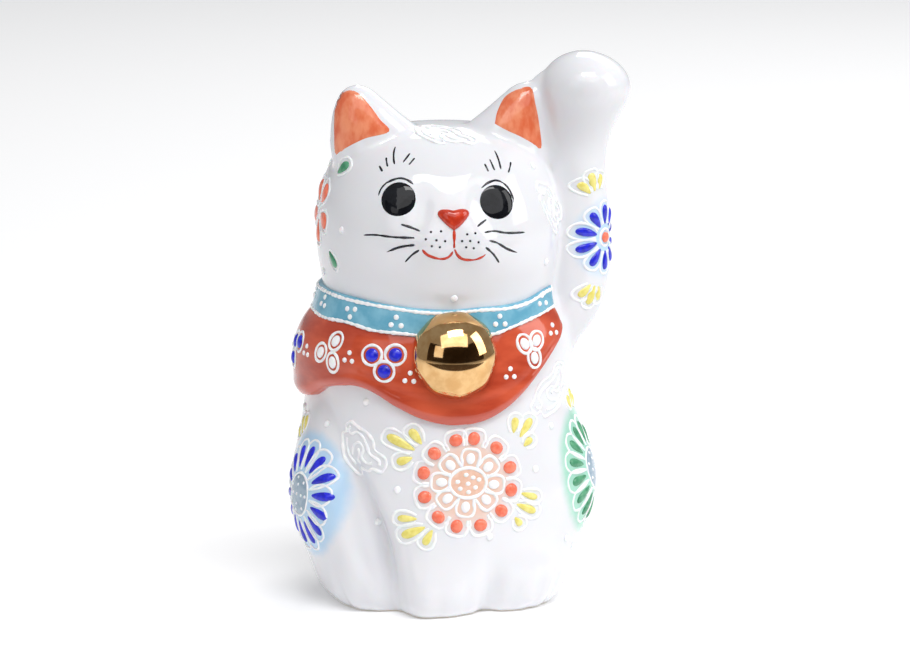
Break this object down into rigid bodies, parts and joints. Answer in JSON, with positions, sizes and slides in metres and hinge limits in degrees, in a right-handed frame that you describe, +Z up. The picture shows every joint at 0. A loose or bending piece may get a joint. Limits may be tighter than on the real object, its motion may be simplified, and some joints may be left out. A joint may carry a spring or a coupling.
{
  "type": "beckoning cat figurine",
  "caption": "Seated hollow porcelain cat with a raised paw, collar, bib and gilded bell, decorated with raised enamel flowers, on a flat foot.",
  "frame": {"origin": "on the floor, at the upright axis through the seated body", "axes": "+Z up, -Y is the way the cat faces, +X is the cat's own left, the side of the raised paw"},
  "size_m": [0.0929, 0.0873, 0.15],
  "materials": {
    "porcelain": "clear gloss glaze over cool white porcelain, unglazed on the foot",
    "gold_lustre": "bright fired gold over glaze",
    "black_enamel": "thick glossy black enamel",
    "line_black": "thin black line painting",
    "iron_red": "glossy iron-red enamel",
    "ear_orange": "brushed orange-red enamel, streaky",
    "collar_blue": "brushed translucent turquoise-blue enamel",
    "bib_red": "brushed iron-red enamel, streaky",
    "trailed_white": "raised opaque white enamel",
    "coral_enamel": "raised glossy coral enamel",
    "cobalt_enamel": "raised glossy cobalt-blue enamel",
    "pale_blue_enamel": "raised pale-blue enamel",
    "green_enamel": "raised glossy green enamel",
    "yellow_enamel": "raised glossy yellow enamel"
  },
  "bodies": {
    "root": {"torso_shell": "porcelain", "head_shell": "porcelain", "raised_arm": "porcelain", "tail": "porcelain", "collar_band": "collar_blue", "bib": "bib_red", "bell": "gold_lustre", "eye_right": "black_enamel", "eye_left": "black_enamel", "eyelid_lines": "line_black", "lashes": "line_black", "whiskers": "line_black", "muzzle_spots": "line_black", "nose": "iron_red", "mouth_line": "iron_red", "ear_enamel_right": "ear_orange", "ear_enamel_left": "ear_orange", "crown_cloud": "trailed_white", "head_side_cloud": "trailed_white", "chest_cloud_right": "trailed_white", "chest_cloud_left": "trailed_white", "front_flower_outline": "trailed_white", "front_flower_coral_beads": "coral_enamel", "front_flower_white_beads": "trailed_white", "front_flower_centre": "trailed_white", "front_spray_drops": "yellow_enamel", "front_spray_outlines": "trailed_white", "right_haunch_petals": "cobalt_enamel", "right_haunch_outlines": "trailed_white", "left_haunch_petals": "green_enamel", "left_haunch_outlines": "trailed_white", "arm_flower_petals": "cobalt_enamel", "arm_flower_outlines": "pale_blue_enamel", "arm_flower_centre": "coral_enamel", "arm_spray_drops": "yellow_enamel", "cheek_flower_petals": "coral_enamel", "cheek_flower_outlines": "trailed_white", "cheek_leaves": "green_enamel", "scattered_dots": "trailed_white", "collar_trim": "trailed_white", "collar_dots": "trailed_white", "bib_white_rings": "trailed_white", "bib_blue_beads": "cobalt_enamel", "bib_dots": "trailed_white"}
  },
  "joints": []
}
